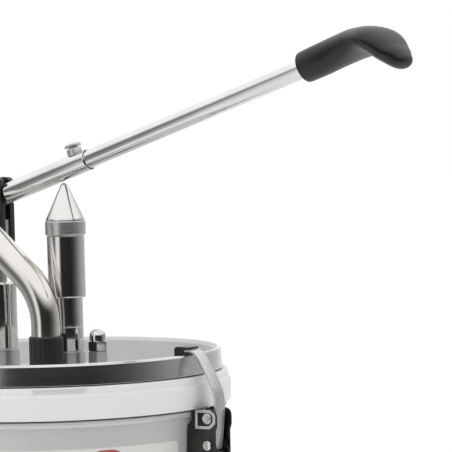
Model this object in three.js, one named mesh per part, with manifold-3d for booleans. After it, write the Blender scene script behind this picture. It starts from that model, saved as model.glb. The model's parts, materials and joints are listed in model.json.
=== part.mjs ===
// Condiment pump dispenser: a food pail in a stainless container, closed by a recessed pump lid.
// A hand lever on a fulcrum post presses a cone-topped plunger, which drives a piston in the pail.
// Millimetres, +Z up. The origin is on the floor, on the container's axis, and +X is the lever's side.
import * as THREE from "three";
import { mergeVertices } from "three/addons/utils/BufferGeometryUtils.js";
import Module from "manifold-3d";

const wasm = await Module();
wasm.setup();

// ---- driving dimensions -------------------------------------------------------------------
const GAP = 0.3;                                   // between pieces that touch
const SHEET = 1.2;                                 // stainless sheet
const BIG = 36;                                    // sides of the container, pail and lid
const MID = 16;                                    // sides of the columns
const SMALL = 10;                                  // sides of pins and nuts' bores

const CONTAINER = { foot: 112, top: 125.5, height: 228.4, bead: 1.7 };
const PAIL = { foot: 104, bandRadius: 131.6, beadRadius: 129.4, bottom: 233.2, ledge: 250.8, top: 256 };
const LID = {
  rim: 272, floor: 250, hemRadius: 125.8, rimRadius: 124.8, wallRadius: 122.2, floorRadius: 114.6,
};

const PUMP_X = 15;                                 // plunger axis
const POST_X = -46;                                // fulcrum post axis
const OUTLET = { x: 17, y: -30 };                  // riser and spout axis
const PLATE = { bottom: LID.floor + GAP, top: LID.floor + 4 };

const LEVER_REST = THREE.MathUtils.degToRad(18);   // lever's slope at rest
const PIVOT_Z = LID.rim + 113.3;
const SLEEVE = { radius: 8, bore: 7.2,  start: 11, end: 88.5 };
const ROD = { radius: 6.8, start: 42, end: 308 };
const GRIP_START = 284;
const CLAMP_AT = 78;                               // clamp screw's place along the lever

const CAP = { bottom: LID.rim + 39.5, top: LID.rim + 85.3, radius: 14 };
const COLLAR = { top: LID.rim + 96.3, radius: 15 };
const TIP_RADIUS = 2.2;
const TIP_Z = PIVOT_Z + (PUMP_X - POST_X) * Math.tan(LEVER_REST) - SLEEVE.radius / Math.cos(LEVER_REST)
  - GAP - TIP_RADIUS * Math.tan(LEVER_REST);
const GUIDE = { radius: 11.5, bore: 8.8, top: LID.rim + 50 - 1 };
const PISTON_ROD = 4;
const BARREL = { radius: 19, bore: 16.5, bottom: 62, top: LID.floor - SHEET - GAP };
const PISTON_TOP = 126;
const BLOCK = { bottom: 30, top: BARREL.bottom - GAP };

const SPOUT = { radius: 10.7, bore: 9.2, riseTo: LID.rim + 21, bend: 48, slope: 41, rise: 42, crest: 42 };
const NOZZLE_X = -165;

const LATCH = {
  pivot: [142.3, 208.2], arm: 8.5, strapHalf: 6, strap: 1.5, eye: 5.2, cheekIn: 6.7, cheekOut: 8.2, earIn: 8.7,
  earOut: 10.2, rivet: [143.5, 228.1], foot: 168, outer: 149.5, tail: 150, rolledEnd: 2.6,
};

// ---- materials ----------------------------------------------------------------------------
function finish(color, metalness, roughness) {
  return () => new THREE.MeshStandardMaterial({ color, metalness, roughness });
}
const polishedSteel = finish(0xd2d0cc, 1.0, 0.16);
const satinSteel = finish(0xc4c3c0, 1.0, 0.34);
const darkSteel = finish(0x6d6b69, 1.0, 0.3);
const whitePlastic = finish(0xe9e8e4, 0.0, 0.45);
const blackPlastic = finish(0x17171a, 0.0, 0.38);
const gripPlastic = finish(0x2a2a2e, 0.0, 0.5);
const acetal = finish(0xdcd8cc, 0.0, 0.5);
const sealRubber = finish(0x3a3a3c, 0.0, 0.8);

// ---- solids -------------------------------------------------------------------------------
// Welds a geometry, drops collapsed triangles and makes its faces point out.
function weld(geometry) {
  const bare = geometry.clone();
  bare.deleteAttribute("normal");
  bare.deleteAttribute("uv");
  const merged = mergeVertices(bare, 1e-4);
  const position = merged.getAttribute("position");
  const point = (i) => new THREE.Vector3().fromBufferAttribute(position, i);
  const source = merged.getIndex().array;
  const kept = [];
  let volume = 0;
  for (let i = 0; i < source.length; i += 3) {
    const [a, b, c] = [source[i], source[i + 1], source[i + 2]];
    if (a === b || b === c || c === a) continue;
    kept.push(a, b, c);
    volume += point(a).dot(point(b).cross(point(c)));
  }
  if (volume < 0) kept.reverse();
  merged.setIndex(kept);
  return merged;
}

function toManifold(geometry) {
  const welded = weld(geometry);
  return new wasm.Manifold(new wasm.Mesh({
    numProp: 3,
    vertProperties: new Float32Array(welded.getAttribute("position").array),
    triVerts: new Uint32Array(welded.getIndex().array),
  }));
}

function fromManifold(solid) {
  const mesh = solid.getMesh();
  const geometry = new THREE.BufferGeometry();
  geometry.setAttribute("position", new THREE.BufferAttribute(new Float32Array(mesh.vertProperties), 3));
  geometry.setIndex([...mesh.triVerts]);
  return geometry;
}

function join(first, ...others) {
  return fromManifold(others.reduce((solid, other) => solid.add(toManifold(other)), toManifold(first)));
}

function cut(first, ...tools) {
  return fromManifold(tools.reduce((solid, tool) => solid.subtract(toManifold(tool)), toManifold(first)));
}

// A profile of [radius, z] points turned about the Z axis. It starts and ends on the axis.
function turned(profile, sides = MID) {
  const points = profile.map(([r, z]) => new THREE.Vector2(r, z));
  return new THREE.LatheGeometry(points, sides).rotateX(Math.PI / 2);
}

// The same for a ring, whose profile closes on itself.
function ring(profile, sides = MID) {
  return turned([...profile, profile[0]], sides);
}

function disc(radius, z0, z1, sides = MID) {
  return turned([[0, z0], [radius, z0], [radius, z1], [0, z1]], sides);
}

function tube(outer, inner, z0, z1, sides = MID) {
  return ring([[inner, z0], [outer, z0], [outer, z1], [inner, z1]], sides);
}

function box(x0, x1, y0, y1, z0, z1) {
  return new THREE.BoxGeometry(x1 - x0, y1 - y0, z1 - z0)
    .translate((x0 + x1) / 2, (y0 + y1) / 2, (z0 + z1) / 2);
}

// A shape in the XZ plane, extruded along Y from y0 to y1.
function plateXZ(shape, y0, y1, curveSegments = 8) {
  const options = { depth: y1 - y0, bevelEnabled: false, curveSegments };
  return new THREE.ExtrudeGeometry(shape, options).rotateX(Math.PI / 2).translate(0, y1, 0);
}

function plateXY(shape, z0, z1, curveSegments = 8) {
  const options = { depth: z1 - z0, bevelEnabled: false, curveSegments };
  return new THREE.ExtrudeGeometry(shape, options).translate(0, 0, z0);
}

function polygon(points) {
  return new THREE.Shape(points.map(([x, y]) => new THREE.Vector2(x, y)));
}

function roundedBox(x0, x1, y0, y1, r) {
  const shape = new THREE.Shape();
  shape.absarc(x1 - r, y0 + r, r, -Math.PI / 2, 0);
  shape.absarc(x1 - r, y1 - r, r, 0, Math.PI / 2);
  shape.absarc(x0 + r, y1 - r, r, Math.PI / 2, Math.PI);
  shape.absarc(x0 + r, y0 + r, r, Math.PI, 1.5 * Math.PI);
  return shape;
}

// A pin along Y through (x, z).
function pinY(radius, x, z, y0, y1, sides = SMALL) {
  return disc(radius, y0, y1, sides).rotateX(-Math.PI / 2).translate(x, 0, z);
}

// A hexagonal prism along Z, measured across its flats.
function hexPrism(acrossFlats, z0, z1) {
  return disc(acrossFlats / Math.sqrt(3), z0, z1, 6);
}

// A skin through rings of points, closed by a fan at each end.
function loft(rings) {
  const sides = rings[0].length;
  const positions = [];
  const triangles = [];
  for (const ringPoints of rings) for (const p of ringPoints) positions.push(p.x, p.y, p.z);
  for (let i = 0; i + 1 < rings.length; i++) {
    for (let j = 0; j < sides; j++) {
      const [a, b] = [i * sides + j, i * sides + (j + 1) % sides];
      triangles.push(a, b, b + sides, a, b + sides, a + sides);
    }
  }
  for (const end of [0, rings.length - 1]) {
    const centre = new THREE.Vector3();
    for (const p of rings[end]) centre.addScaledVector(p, 1 / sides);
    const hub = positions.length / 3;
    positions.push(centre.x, centre.y, centre.z);
    for (let j = 0; j < sides; j++) {
      const [a, b] = [end * sides + j, end * sides + (j + 1) % sides];
      triangles.push(...(end === 0 ? [hub, b, a] : [hub, a, b]));
    }
  }
  const geometry = new THREE.BufferGeometry();
  geometry.setAttribute("position", new THREE.Float32BufferAttribute(positions, 3));
  geometry.setIndex(triangles);
  return geometry;
}

// A sheet strip of constant thickness along points in the XZ plane.
function strip(points, thickness, halfWidth) {
  const curve = new THREE.CatmullRomCurve3(points.map(([x, z]) => new THREE.Vector3(x, 0, z)));
  const count = 14;
  const left = [];
  const right = [];
  for (let i = 0; i <= count; i++) {
    const p = curve.getPointAt(i / count);
    const t = curve.getTangentAt(i / count);
    left.push([p.x - t.z * thickness / 2, p.z + t.x * thickness / 2]);
    right.unshift([p.x + t.z * thickness / 2, p.z - t.x * thickness / 2]);
  }
  return plateXZ(polygon([...left, ...right]), -halfWidth, halfWidth);
}

const root = new THREE.Group();

function add(name, geometry, material, parent = root) {
  const mesh = new THREE.Mesh(weld(geometry), material());
  mesh.name = name;
  parent.add(mesh);
  return mesh;
}

// ---- container, pail and lid --------------------------------------------------------------
function wallRadius(z) {
  return CONTAINER.foot + (CONTAINER.top - CONTAINER.foot) * (z / CONTAINER.height);
}

function containerBody() {
  const { foot, top, height, bead } = CONTAINER;
  const [cx, cz] = [top + bead - 0.6, height + bead];
  const rolled = [];
  for (let i = 0; i <= 8; i++) {
    const angle = -Math.PI / 2 + (i / 8) * Math.PI * 1.25;
    rolled.push([cx + bead * Math.cos(angle), cz + bead * Math.sin(angle)]);
  }
  add("outer_container", turned([
    [0, 0], [foot - 5, 0], [foot - 1.4, 1.2], [foot, 4.5], [top, height - 1], ...rolled,
    [top - SHEET, height - 2], [foot - SHEET, 5], [foot - 5.5, SHEET], [0, SHEET],
  ], BIG), satinSteel);
}

function saucePail() {
  const { foot, bandRadius, beadRadius, bottom, ledge, top } = PAIL;
  const outer = CONTAINER.top - 5;
  add("sauce_pail", turned([
    [0, 3], [foot - 5, 3], [foot, 8], [outer - 0.6, bottom - 4], [outer, bottom],
    [bandRadius - 0.5, bottom], [bandRadius, bottom + 8], [bandRadius - 0.4, ledge - 0.8],
    [beadRadius + 0.6, ledge], [beadRadius, ledge + 1], [beadRadius, top - 1], [beadRadius - 1, top],
    [outer - 1, top], [outer - 3, ledge], [outer - 3.2, bottom - 6], [foot - 2.4, 9], [foot - 6, 5.4],
    [0, 5.4],
  ], BIG), whitePlastic);
}

function lidPan() {
  const { rim, floor, hemRadius, rimRadius, wallRadius: wall, floorRadius } = LID;
  const hem = PAIL.top + 0.8;
  const pan = turned([
    [0, floor - SHEET], [floorRadius - 3, floor - SHEET], [floorRadius + 1, floor + 1.6],
    [wall - SHEET, rim - 3], [wall + 0.4, rim - SHEET], [rimRadius - 1.4, rim - SHEET],
    [rimRadius - SHEET, rim - 2.4], [hemRadius - SHEET, hem], [hemRadius, hem],
    [rimRadius, rim - 2], [rimRadius - 1, rim], [wall + 0.2, rim], [wall - SHEET - 1.1, rim - 2.6],
    [floorRadius - 0.4, floor + 2.6], [floorRadius - 3.4, floor], [0, floor],
  ], BIG);
  const rodHole = disc(PISTON_ROD + 7, floor - 3, floor + 3).translate(PUMP_X, 0, 0);
  const riserHole = disc(9.7, floor - 3, floor + 3).translate(OUTLET.x, OUTLET.y, 0);
  add("lid_pan", cut(pan, rodHole, riserHole), polishedSteel);
  add("lid_gasket", ring([
    [PAIL.beadRadius - 9.6, PAIL.top + GAP], [PAIL.beadRadius - 5.8, PAIL.top + GAP],
    [PAIL.beadRadius - 6.1, PAIL.top + 3.1], [PAIL.beadRadius - 9.2, PAIL.top + 3.1],
  ], BIG), sealRubber);
}

// The two studs that hold the bridge plate down on the lid.
const STUDS = [["right", PUMP_X + 26.5], ["left", POST_X - 26.5]];

function bridgePlate() {
  const outline = roundedBox(POST_X - 40, PUMP_X + 40, -48, 26, 9);
  const plate = plateXY(outline, PLATE.bottom, PLATE.top, 6);
  const rodHole = disc(PISTON_ROD + 7, PLATE.bottom - 1, PLATE.top + 1).translate(PUMP_X, 0, 0);
  const riserHole = disc(9.7, PLATE.bottom - 1, PLATE.top + 1).translate(OUTLET.x, OUTLET.y, 0);
  const studs = STUDS.map(([, x]) => disc(4.4, PLATE.bottom - 1, PLATE.top + 1, SMALL).translate(x, 0, 0));
  add("bridge_plate", cut(plate, rodHole, riserHole, ...studs), satinSteel);
}

// Acorn nuts on hexagonal pillars hold the bridge plate at both ends.
function pillarsAndNuts() {
  for (const [side, x] of STUDS) {
    const hexTop = LID.rim + 0.4;
    const pillar = join(
      hexPrism(13, PLATE.top + GAP, hexTop),
      disc(4, PLATE.bottom + GAP, hexTop - 1, SMALL),
    ).translate(x, 0, 0);
    add(`pillar_${side}`, pillar, satinSteel);
    const dome = [];
    for (let i = 0; i <= 6; i++) {
      const angle = (i / 6) * Math.PI / 2;
      dome.push([6.1 * Math.cos(angle), hexTop + 10.5 + 6.1 * Math.sin(angle)]);
    }
    const base = hexTop + GAP;
    const nut = join(
      hexPrism(13, base, hexTop + 7.4),
      turned([[0, base + 1], [6.1, base + 1], ...dome], MID),
    ).translate(x, 0, 0);
    add(`acorn_nut_${side}`, nut, polishedSteel);
  }
}

// ---- fulcrum post and fork ----------------------------------------------------------------
const POST_TOP = LID.rim + 50.8;
const STEM = { radius: 4.6, tangHalf: 2.5, tangTop: LID.rim + 97, tangBottom: LID.rim + 61 };
const FORK = { half: 8, inner: STEM.tangHalf + GAP, outer: STEM.tangHalf + GAP + 5.4 };

function fulcrumPost() {
  const base = PLATE.top + GAP;
  const collar = tube(12.4, 10.4, base, LID.rim + 0.6).translate(POST_X, 0, 0);
  add("post_collar", collar, satinSteel);
  const post = ring([
    [STEM.radius + GAP, LID.rim + 10], [8.6, LID.rim + 10], [8.6, base + 2], [10, base],
    [10, LID.rim + 0.9], [11.5, LID.rim + 0.9], [11.5, POST_TOP - 1.2], [10.4, POST_TOP],
    [STEM.radius + GAP, POST_TOP],
  ]).translate(POST_X, 0, 0);
  add("fulcrum_post", post, polishedSteel);
}

const FORK_SCREWS = [["lower", LID.rim + 70], ["upper", LID.rim + 87]];

function forkHoles(radius) {
  return FORK_SCREWS.map(([, z]) => pinY(radius, POST_X, z, -20, 20));
}

function forkStem() {
  const stem = join(
    disc(STEM.radius, LID.rim + 12, STEM.tangBottom + 0.5).translate(POST_X, 0, 0),
    box(POST_X - 7, POST_X + 7, -STEM.tangHalf, STEM.tangHalf, STEM.tangBottom, STEM.tangTop),
  );
  add("fork_stem", cut(stem, ...forkHoles(2.3)), darkSteel);
}

function forkCheeks() {
  const [low, high] = [STEM.tangBottom + 0.6, PIVOT_Z + 15.3];
  const outline = new THREE.Shape();
  outline.moveTo(POST_X - FORK.half, low);
  outline.lineTo(POST_X + FORK.half, low);
  outline.absarc(POST_X + FORK.half - 5, high - 5, 5, 0, Math.PI / 2);
  outline.absarc(POST_X - FORK.half + 5, high - 5, 5, Math.PI / 2, Math.PI);
  for (const [side, sign] of [["front", -1], ["back", 1]]) {
    const ends = [sign * FORK.inner, sign * FORK.outer].sort((a, b) => a - b);
    const cheek = plateXZ(outline, ends[0], ends[1], 5);
    const pivotHole = pinY(3.3, POST_X, PIVOT_Z, -20, 20);
    add(`fork_cheek_${side}`, cut(cheek, ...forkHoles(2.3), pivotHole), blackPlastic);
  }
  for (const [level, z] of FORK_SCREWS) {
    const screw = boltY(2, 4, POST_X, z, FORK.outer + GAP, 2.2);
    add(`fork_screw_${level}`, screw, satinSteel);
  }
}

// A pin along Y with a low head at both ends, at distance reach from the XZ plane.
function boltY(radius, headRadius, x, z, reach, head) {
  return turned([
    [0, -reach - head], [headRadius - 0.8, -reach - head], [headRadius, -reach - head + 0.8],
    [headRadius, -reach], [radius, -reach], [radius, reach], [headRadius, reach],
    [headRadius, reach + head - 0.8], [headRadius - 0.8, reach + head], [0, reach + head],
  ], SMALL).rotateX(-Math.PI / 2).translate(x, 0, z);
}

// ---- pump above the lid -------------------------------------------------------------------
function pumpColumn() {
  const base = PLATE.top + GAP;
  const place = (geometry) => geometry.translate(PUMP_X, 0, 0);
  add("pump_base", place(ring([
    [10.3, base + 5], [10.3, LID.rim - 0.2], [12.2, LID.rim - 0.2], [12.2, base + 3], [13.4, base + 1.4],
    [13.4, base], [7, base], [7, base + 5],
  ])), satinSteel);
  add("guide_tube", place(ring([
    [GUIDE.bore, base + 5.6], [GUIDE.bore, GUIDE.top], [GUIDE.radius, GUIDE.top],
    [GUIDE.radius, LID.rim + 0.2], [10, LID.rim + 0.2], [10, base + 5.6],
  ])), polishedSteel);
  add("guide_bush", place(ring([
    [PISTON_ROD + 0.35, BARREL.top + 0.6], [6.6, BARREL.top + 0.6], [6.6, base + 5.3],
    [8.4, base + 5.3], [8.4, base + 8], [PISTON_ROD + 0.35, base + 8],
  ])), acetal);
}

const SPRING = { bottom: PLATE.top + GAP + 8.4, top: CAP.top - 0.4, wire: 0.9, radius: 7.2, turns: 6 };

class Helix extends THREE.Curve {
  getPoint(t, target = new THREE.Vector3()) {
    const angle = 2 * Math.PI * SPRING.turns * t;
    const z = THREE.MathUtils.lerp(SPRING.bottom + SPRING.wire, SPRING.top - SPRING.wire, t);
    return target.set(PUMP_X + SPRING.radius * Math.cos(angle), SPRING.radius * Math.sin(angle), z);
  }
}

function returnSpring() {
  const section = new THREE.Shape().absarc(0, 0, SPRING.wire, 0, 2 * Math.PI);
  const options = { steps: SPRING.turns * 9, curveSegments: 3, extrudePath: new Helix() };
  add("return_spring", new THREE.ExtrudeGeometry(section, options), darkSteel);
}

function plunger() {
  const place = (geometry) => geometry.translate(PUMP_X, 0, 0);
  add("plunger_cap", place(ring([
    [12.2, CAP.bottom], [CAP.radius, CAP.bottom], [CAP.radius, CAP.top - GAP], [12.2, CAP.top - GAP],
  ])), polishedSteel);
  add("cap_collar", place(ring([
    [PISTON_ROD + GAP, CAP.top], [COLLAR.radius - 0.6, CAP.top], [COLLAR.radius, CAP.top + 0.6],
    [COLLAR.radius, COLLAR.top - GAP], [PISTON_ROD + GAP, COLLAR.top - GAP],
  ])), satinSteel);
  add("cap_cone", place(turned([
    [0, COLLAR.top], [COLLAR.radius - 0.4, COLLAR.top], [TIP_RADIUS + 0.5, TIP_Z - 1],
    [TIP_RADIUS - 0.2, TIP_Z], [0, TIP_Z],
  ])), polishedSteel);
  add("piston_rod", place(disc(PISTON_ROD, PISTON_TOP - 20, COLLAR.top - 2 * GAP, SMALL)), satinSteel);
}

function piston() {
  const place = (geometry) => geometry.translate(PUMP_X, 0, 0);
  const hole = PISTON_ROD + GAP;
  add("piston_body", place(ring([
    [hole, PISTON_TOP - 14], [12.6, PISTON_TOP - 14], [12.6, PISTON_TOP - 10.5], [15.4, PISTON_TOP - 10.5],
    [15.4, PISTON_TOP - 7.5], [12.6, PISTON_TOP - 7.5], [12.6, PISTON_TOP - 3], [15.4, PISTON_TOP - 3],
    [15.4, PISTON_TOP], [hole, PISTON_TOP],
  ], MID)), acetal);
  const seal = (z) => ring([[12.9, z], [16.1, z + 0.4], [16.1, z + 2.4], [12.9, z + 2.8]], MID);
  add("piston_seal_upper", place(seal(PISTON_TOP - 6.9)), sealRubber);
  add("piston_seal_lower", place(seal(PISTON_TOP - 13.6)), sealRubber);
  const nut = cut(hexPrism(12, PISTON_TOP - 18.6, PISTON_TOP - 14.4), disc(hole, 0, 200, SMALL));
  add("piston_nut", place(nut), satinSteel);
}

// ---- pump below the lid -------------------------------------------------------------------
const SUCTION = { seat: 5, chamber: 8.6, ball: 7, seatTop: BLOCK.bottom + 7 };
const DISCHARGE = { seat: 4.4, chamber: 7.6, ball: 6.2, seatTop: BLOCK.bottom + 14 };

function ballRest(valve) {
  return valve.seatTop + Math.sqrt(valve.ball ** 2 - valve.seat ** 2) + GAP;
}

function barrelAndBlock() {
  add("pump_barrel", tube(BARREL.radius, BARREL.bore, BARREL.bottom, BARREL.top, MID).translate(PUMP_X, 0, 0),
    satinSteel);
  const reach = OUTLET.y / 2;
  const footprint = roundedBox(PUMP_X - 19, PUMP_X + 19, OUTLET.y - 11, 19, 10);
  const block = plateXY(footprint, BLOCK.bottom, BLOCK.top, 6);
  const suctionPath = join(
    disc(SUCTION.seat, BLOCK.bottom - 1, SUCTION.seatTop + 1, SMALL),
    disc(SUCTION.chamber, SUCTION.seatTop, BLOCK.top + 1, SMALL),
  ).translate(PUMP_X, 0, 0);
  const dischargePath = join(
    disc(DISCHARGE.seat, DISCHARGE.seatTop - 8, DISCHARGE.seatTop + 1, SMALL),
    disc(DISCHARGE.chamber, DISCHARGE.seatTop, BLOCK.top + 1, SMALL),
  ).translate(OUTLET.x, OUTLET.y, 0);
  const crossPort = disc(3.2, reach, -reach, SMALL).rotateX(Math.PI / 2)
    .translate(PUMP_X + 1, reach, DISCHARGE.seatTop - 4.4);
  add("valve_block", cut(block, suctionPath, dischargePath, crossPort), satinSteel);
  add("suction_ball", new THREE.SphereGeometry(SUCTION.ball, 12, 8).rotateX(Math.PI / 2)
    .translate(PUMP_X, 0, ballRest(SUCTION)), darkSteel);
  add("discharge_ball", new THREE.SphereGeometry(DISCHARGE.ball, 12, 8).rotateX(Math.PI / 2)
    .translate(OUTLET.x, OUTLET.y, ballRest(DISCHARGE)), darkSteel);
  const slots = [0, 1, 2].map((i) => disc(3, 0, 100, 12).translate(5.2, 0, 0)
    .rotateZ(i * 2 * Math.PI / 3));
  const cageZ = BLOCK.top - 3;
  add("suction_cage", cut(disc(SUCTION.chamber - 0.8, cageZ, cageZ + 2.4, SMALL), ...slots)
    .translate(PUMP_X, 0, 0), satinSteel);
  add("riser_tube", tube(9, 7.6, BLOCK.top + GAP, PLATE.top + 2.6, MID).translate(OUTLET.x, OUTLET.y, 0),
    satinSteel);
}

// ---- spout --------------------------------------------------------------------------------
const UNION_TOP = LID.rim + 13.2;

function outletUnion() {
  const place = (geometry) => geometry.translate(OUTLET.x, OUTLET.y, 0);
  const base = PLATE.top + GAP;
  add("outlet_union", place(ring([
    [9.3, base], [12.6, base], [12.6, UNION_TOP - 1], [11.9, UNION_TOP], [11.05, UNION_TOP],
    [11.05, base + 4], [9.3, base + 4],
  ])), blackPlastic);
  add("spout_seal", place(tube(10.6, 9.4, base + 4.3, base + 6.4, MID)), sealRubber);
}

// Up out of the union, leaning over the container's rim towards -X, level, and down to the nozzle.
function spoutPath() {
  const slope = THREE.MathUtils.degToRad(SPOUT.slope);
  const points = [];
  const at = (x, z) => points.push(new THREE.Vector3(x, 0, z));
  const arc = (cx, cz, radius, from, to, steps) => {
    for (let i = 0; i <= steps; i++) {
      const angle = THREE.MathUtils.lerp(from, to, i / steps);
      at(cx + radius * Math.cos(angle), cz + radius * Math.sin(angle));
    }
  };
  at(OUTLET.x, PLATE.top + 7);
  at(OUTLET.x, (PLATE.top + 7 + SPOUT.riseTo) / 2);
  arc(OUTLET.x - SPOUT.bend, SPOUT.riseTo, SPOUT.bend, 0, Math.PI / 2 - slope, 5);
  const foot = points[points.length - 1];
  const top = { x: foot.x - SPOUT.rise / Math.tan(slope), z: foot.z + SPOUT.rise };
  at((foot.x + top.x) / 2, (foot.z + top.z) / 2);
  const crestX = top.x - SPOUT.crest * Math.sin(slope);
  const crestZ = top.z - SPOUT.crest * Math.cos(slope);
  arc(crestX, crestZ, SPOUT.crest, Math.PI / 2 - slope, Math.PI / 2, 3);
  arc(NOZZLE_X + SPOUT.crest, crestZ, SPOUT.crest, Math.PI / 2, Math.PI, 6);
  at(NOZZLE_X, crestZ - 16);
  return new THREE.CatmullRomCurve3(points, false, "centripetal");
}

function spout() {
  const path = spoutPath();
  const section = new THREE.Shape().absarc(0, 0, SPOUT.radius, 0, 2 * Math.PI);
  const hole = new THREE.Path().absarc(0, 0, SPOUT.bore, 0, 2 * Math.PI, true);
  section.holes.push(hole);
  const pipe = new THREE.ExtrudeGeometry(section, { steps: 28, curveSegments: 6, extrudePath: path })
    .translate(0, OUTLET.y, 0);
  add("outlet_pipe", pipe, polishedSteel);
  const end = path.getPoint(1);
  const mouth = end.z - 20;
  add("spout_nozzle", ring([
    [SPOUT.radius + GAP, end.z + 10], [SPOUT.radius + 2.4, end.z + 10], [SPOUT.radius + 2.4, mouth + 8],
    [8.6, mouth], [6.6, mouth], [6.6, mouth + 6], [8.4, end.z - 0.4], [SPOUT.radius + GAP, end.z - 0.4],
  ]).translate(end.x, OUTLET.y, 0), blackPlastic);
}

// ---- lever --------------------------------------------------------------------------------
// Inside this group +X runs along the lever from its pivot.
const lever = new THREE.Group();
lever.position.set(POST_X, 0, PIVOT_Z);
lever.rotation.y = -LEVER_REST;
root.add(lever);

const alongX = (geometry) => geometry.rotateY(Math.PI / 2);

function leverSleeve() {
  const half = STEM.tangHalf;
  const eye = new THREE.Shape();
  eye.moveTo(SLEEVE.start - 1, -6.2);
  eye.lineTo(SLEEVE.start + 3, -6.2);
  eye.lineTo(SLEEVE.start + 3, 6.2);
  eye.lineTo(SLEEVE.start - 1, 6.2);
  eye.lineTo(0, 8);
  eye.absarc(0, 0, 8, Math.PI / 2, 1.5 * Math.PI);
  const plug = alongX(disc(SLEEVE.bore - GAP, SLEEVE.start + 1, SLEEVE.start + 15, MID));
  const tongue = cut(join(plateXZ(eye, -half, half, 6), plug), pinY(3.3, 0, 0, -10, 10));
  add("lever_tongue", tongue, satinSteel, lever);
  const sleeve = alongX(tube(SLEEVE.radius, SLEEVE.bore, SLEEVE.start, SLEEVE.end));
  const screwHole = disc(3.3, 0, 20, SMALL).translate(CLAMP_AT, 0, 0);
  add("lever_sleeve", cut(sleeve, screwHole), polishedSteel, lever);
  add("pivot_pin", boltY(3, 4.8, 0, 0, FORK.outer + GAP, 2), satinSteel, lever);
}

function clamp() {
  const saddle = alongX(disc(SLEEVE.radius + GAP, -20, 20)).translate(CLAMP_AT, 0, 0);
  const boss = cut(tube(5.6, 3.3, 4, SLEEVE.radius + 3.6, 18).translate(CLAMP_AT, 0, 0), saddle);
  add("clamp_boss", boss, satinSteel, lever);
  const head = SLEEVE.radius + 4.8;
  const screw = turned([
    [0, ROD.radius + GAP], [3, ROD.radius + GAP], [3, head], [6.3, head + 0.4], [6.3, head + 1.6],
    [5.2, head + 2.6], [0, head + 2.6],
  ], 20);
  add("clamp_screw", cut(screw, box(-8, 8, -0.7, 0.7, head + 1.5, head + 4)).translate(CLAMP_AT, 0, 0),
    satinSteel, lever);
}

function leverRod() {
  add("lever_rod", alongX(disc(ROD.radius, ROD.start, ROD.end, MID)), polishedSteel, lever);
}

// Stations along the grip: along and above the lever's axis, half thickness and half width.
const GRIP = [
  { s: 0, n: 0.5, t: 11.2, w: 11.2 }, { s: 16, n: 0.9, t: 11.6, w: 11.4 },
  { s: 32.3, n: 1.5, t: 11.4, w: 14.7 }, { s: 48.2, n: 1.3, t: 11, w: 21.4 },
  { s: 61.6, n: -2.1, t: 9.6, w: 29 }, { s: 69.4, n: -13.6, t: 7.8, w: 22 },
  { s: 74, n: -20.6, t: 6.6, w: 14 }, { s: 78.1, n: -24.6, t: 4.4, w: 8.5 },
];

function gripRing(spine, sizes, u, sides) {
  const centre = spine.getPoint(u);
  const tangent = spine.getTangent(u);
  const size = sizes.getPoint(u);
  const normal = new THREE.Vector3(-tangent.z, 0, tangent.x);
  return Array.from({ length: sides }, (_, j) => {
    const angle = (j / sides) * 2 * Math.PI;
    const point = centre.clone().addScaledVector(normal, size.x * Math.sin(angle));
    point.y += size.y * Math.cos(angle);
    return point;
  });
}

function handGrip() {
  const spine = new THREE.CatmullRomCurve3(GRIP.map(({ s, n }) => new THREE.Vector3(GRIP_START + s, 0, n)));
  const sizes = new THREE.CatmullRomCurve3(GRIP.map(({ t, w }) => new THREE.Vector3(t, w, 0)));
  const rings = Array.from({ length: 15 }, (_, i) => gripRing(spine, sizes, i / 14, 16));
  const bore = alongX(disc(ROD.radius + GAP, GRIP_START - 5, ROD.end + 1, MID));
  add("hand_grip", cut(loft(rings), bore), gripPlastic, lever);
}

// ---- latches ------------------------------------------------------------------------------
// Each is drawn on the +X side, in a group turned to its side of the container.
const LATCH_PIN = [LATCH.pivot[0], LATCH.pivot[1] - LATCH.arm];

function latchBase(side, group) {
  const inner = (z) => wallRadius(z) + 0.5;
  const { foot, earIn, earOut } = LATCH;
  const [beadSide, bandSide, top] = [CONTAINER.top + 3.5, PAIL.bandRadius + 1, PAIL.bottom + 0.6];
  const earOutline = polygon([
    [inner(foot), foot], [inner(foot) + 5, foot - 1], [148.4, foot + 24], [148.6, foot + 50], [150, 222],
    [150, 230], [147.4, top], [bandSide, top], [bandSide, PAIL.bottom - 0.8], [beadSide, PAIL.bottom - 0.8],
    [beadSide, CONTAINER.height - 2], [inner(222), 222],
  ]);
  const ears = [1, -1].map((sign) => {
    const ends = [sign * earIn, sign * earOut].sort((a, b) => a - b);
    return plateXZ(earOutline, ends[0], ends[1]);
  });
  const bosses = [1, -1].map((sign) => {
    const boss = turned([
      [0, earIn + 0.5], [4, earIn + 0.5], [4, earOut], [3, earOut + 1.3], [0, earOut + 1.3],
    ], SMALL).rotateX(-sign * Math.PI / 2);
    return boss.translate(LATCH.rivet[0], 0, LATCH.rivet[1]);
  });
  const head = foot + 24;
  const back = polygon([
    [inner(foot), foot], [inner(foot) + 1.6, foot], [inner(head) + 1.6, head], [inner(head), head],
  ]);
  const solid = join(ears[0], ears[1], plateXZ(back, -earOut, earOut), ...bosses);
  const pivotHole = pinY(2.4, LATCH.pivot[0], LATCH.pivot[1], -20, 20, 12);
  add(`latch_base_${side}`, cut(solid, pivotHole), satinSteel, group);
}

// A short rivet through one wall of the bracket, headed on the outside.
function stubRivet(name, [x, z], sign, group) {
  const innerEnd = LATCH.cheekIn - GAP;
  const head = LATCH.earOut + GAP;
  const rivet = turned([
    [0, innerEnd], [2, innerEnd], [2, head], [3.6, head], [3.2, head + 1], [2, head + 1.5], [0, head + 1.5],
  ], 12).rotateX(-Math.PI / 2);
  if (sign < 0) rivet.rotateZ(Math.PI);
  add(name, rivet.translate(x, 0, z), polishedSteel, group);
}

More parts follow.
